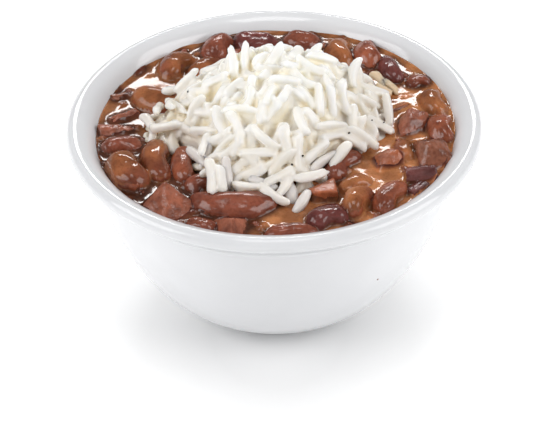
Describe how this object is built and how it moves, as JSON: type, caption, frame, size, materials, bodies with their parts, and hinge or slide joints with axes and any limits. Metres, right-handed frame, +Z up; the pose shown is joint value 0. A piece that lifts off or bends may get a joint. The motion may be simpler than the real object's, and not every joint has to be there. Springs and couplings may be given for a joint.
{
  "type": "red beans and rice",
  "caption": "Bowl of red beans and rice: a round rolled-lip china bowl of brown gravy with kidney beans and pieces of smoked meat round a heap of white rice.",
  "frame": {"origin": "on the table under the middle of the bowl", "axes": "+Z up along the bowl's axis, -Y towards the diner, +X to the diner's right"},
  "size_m": [0.12, 0.12, 0.0776],
  "materials": {
    "china": "white glazed china",
    "gravy": "wet glossy brown gravy",
    "rice": "moist cooked white rice",
    "bean_skin": "wet red-brown bean skin",
    "smoked_meat": "wet smoked meat, red-brown"
  },
  "bodies": {
    "root": {"bowl": "china", "gravy": "gravy", "rice_mound": "rice", "bean_01": "bean_skin", "bean_02": "bean_skin", "bean_03": "bean_skin", "bean_04": "bean_skin", "bean_05": "bean_skin", "bean_06": "bean_skin", "bean_07": "bean_skin", "bean_08": "bean_skin", "bean_09": "bean_skin", "bean_10": "bean_skin", "bean_11": "bean_skin", "bean_12": "bean_skin", "bean_13": "bean_skin", "bean_14": "bean_skin", "bean_15": "bean_skin", "bean_16": "bean_skin", "bean_17": "bean_skin", "bean_18": "bean_skin", "bean_19": "bean_skin", "bean_20": "bean_skin", "bean_21": "bean_skin", "bean_22": "bean_skin", "bean_23": "bean_skin", "bean_24": "bean_skin", "bean_25": "bean_skin", "bean_26": "bean_skin", "bean_27": "bean_skin", "meat_01": "smoked_meat", "meat_02": "smoked_meat", "meat_03": "smoked_meat", "meat_04": "smoked_meat", "meat_05": "smoked_meat", "meat_06": "smoked_meat", "meat_07": "smoked_meat", "meat_08": "smoked_meat", "meat_09": "smoked_meat", "meat_10": "smoked_meat"}
  },
  "joints": []
}
